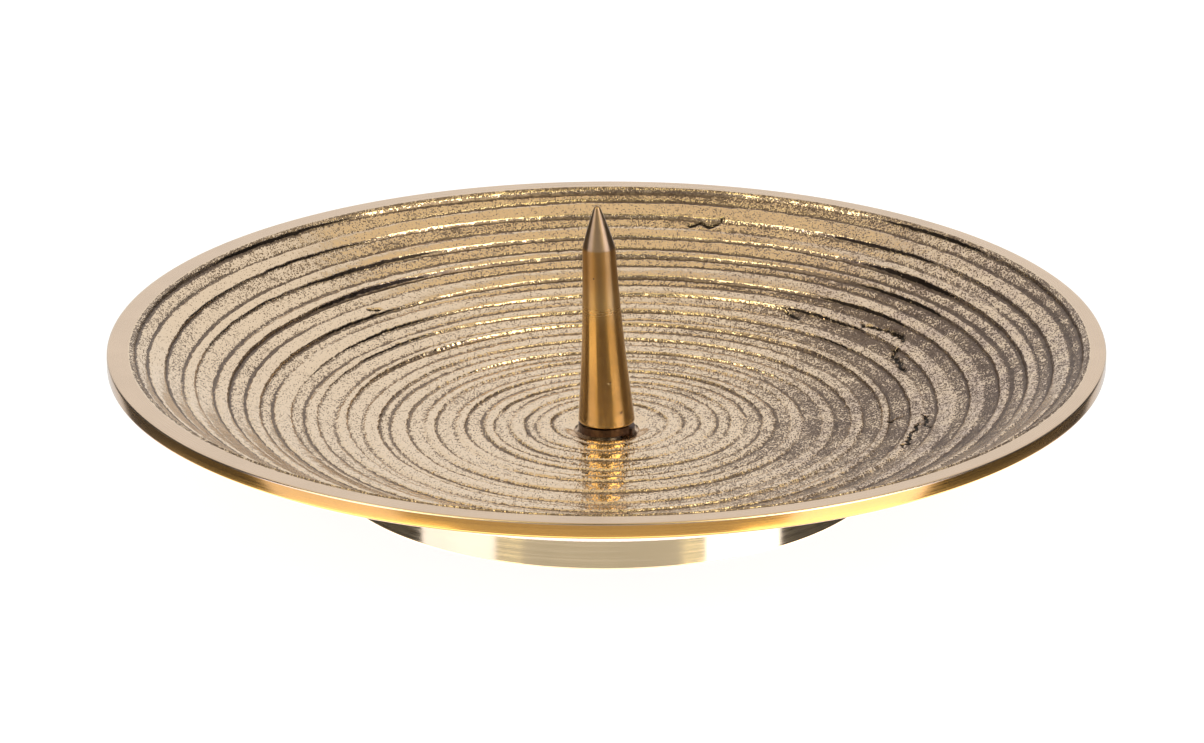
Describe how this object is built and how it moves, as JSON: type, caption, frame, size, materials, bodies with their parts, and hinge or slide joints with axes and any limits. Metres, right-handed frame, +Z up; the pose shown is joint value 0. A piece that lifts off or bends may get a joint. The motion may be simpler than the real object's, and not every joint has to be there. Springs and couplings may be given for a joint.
{
  "type": "candle plate",
  "caption": "Round cast brass candle plate with a ring relief, a turned foot ring and a central spike that holds a pillar candle upright.",
  "frame": {"origin": "centre of the foot ring's resting face, on the table", "axes": "+Z up along the plate's axis, +X to the right and -Y towards the viewer in the picture; the spike leans 2.3 degrees towards -X"},
  "size_m": [0.16, 0.16, 0.0445],
  "materials": {
    "cast_brass": "cast ring relief, brown in the recesses and polished on the ridges, with a turned satin lip",
    "turned_brass": "turned and brushed round its axis",
    "spike_brass": "turned and polished, with a few casting pits",
    "dark_steel": "blackened spring steel",
    "zinc_steel": "zinc plated"
  },
  "bodies": {
    "root": {"dish": "cast_brass", "foot_ring": "turned_brass", "spike": "spike_brass", "lock_washer": "dark_steel", "fixing_screw": "zinc_steel"}
  },
  "joints": []
}
